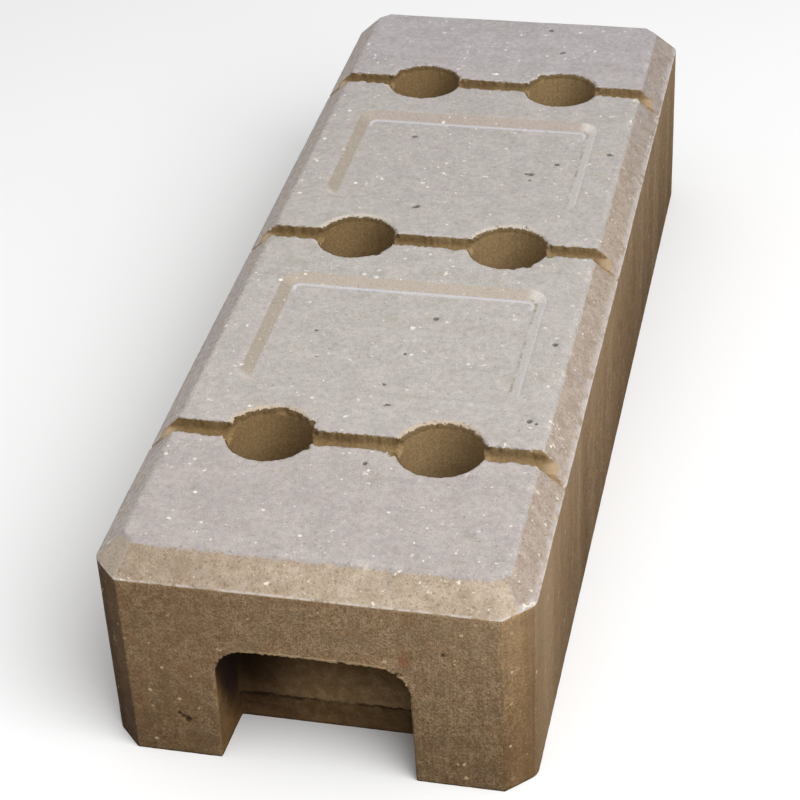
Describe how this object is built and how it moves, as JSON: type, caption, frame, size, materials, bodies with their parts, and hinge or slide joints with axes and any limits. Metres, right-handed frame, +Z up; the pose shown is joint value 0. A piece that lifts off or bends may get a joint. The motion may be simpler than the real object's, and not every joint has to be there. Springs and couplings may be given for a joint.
{
  "type": "concrete fence foot block",
  "caption": "Oblong cast concrete foot block with through holes for fence posts, grooves across them, shallow recessed panels, a bevelled top and hand holds in its ends.",
  "frame": {"origin": "centre of the base, on the floor", "axes": "+Z up, +Y along the length, +X along the width"},
  "size_m": [0.23, 0.645, 0.132],
  "materials": {
    "concrete": "matt cast concrete: pale grey top face, brown stained bevels, sides and recesses"
  },
  "bodies": {
    "root": {"block": "concrete"}
  },
  "joints": []
}
